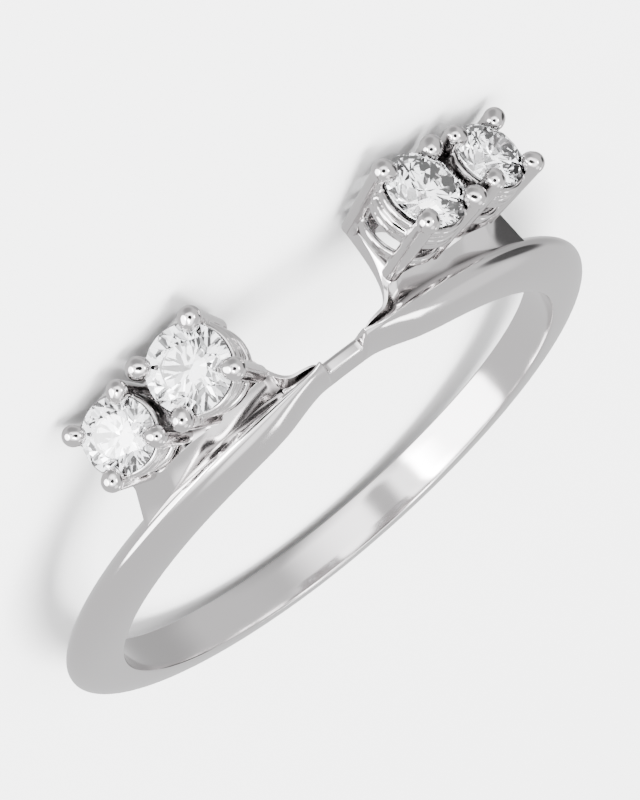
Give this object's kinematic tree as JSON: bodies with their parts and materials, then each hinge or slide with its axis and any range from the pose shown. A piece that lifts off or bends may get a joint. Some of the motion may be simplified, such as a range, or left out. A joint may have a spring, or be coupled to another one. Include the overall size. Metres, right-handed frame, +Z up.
{
  "type": "ring guard enhancer",
  "caption": "Slim half-round ring guard in white gold whose shoulders carry round brilliants on rear brackets, leaving a gap for the ring it is worn with.",
  "frame": {"origin": "Centre of the finger hole, in the middle of the band's width.", "axes": "+X runs along the row of stones towards the left pair, +Y from the heads to the opposite side of the band, +Z up from the surface that the ring lies on."},
  "size_m": [0.0206, 0.0238, 0.0038],
  "materials": {
    "white_gold": "polished, rhodium plated",
    "diamond": "clear, polished facets"
  },
  "bodies": {
    "root": {"metal": "white_gold", "stone_left_large": "diamond", "stone_left_small": "diamond", "stone_right_large": "diamond", "stone_right_small": "diamond"}
  },
  "joints": []
}
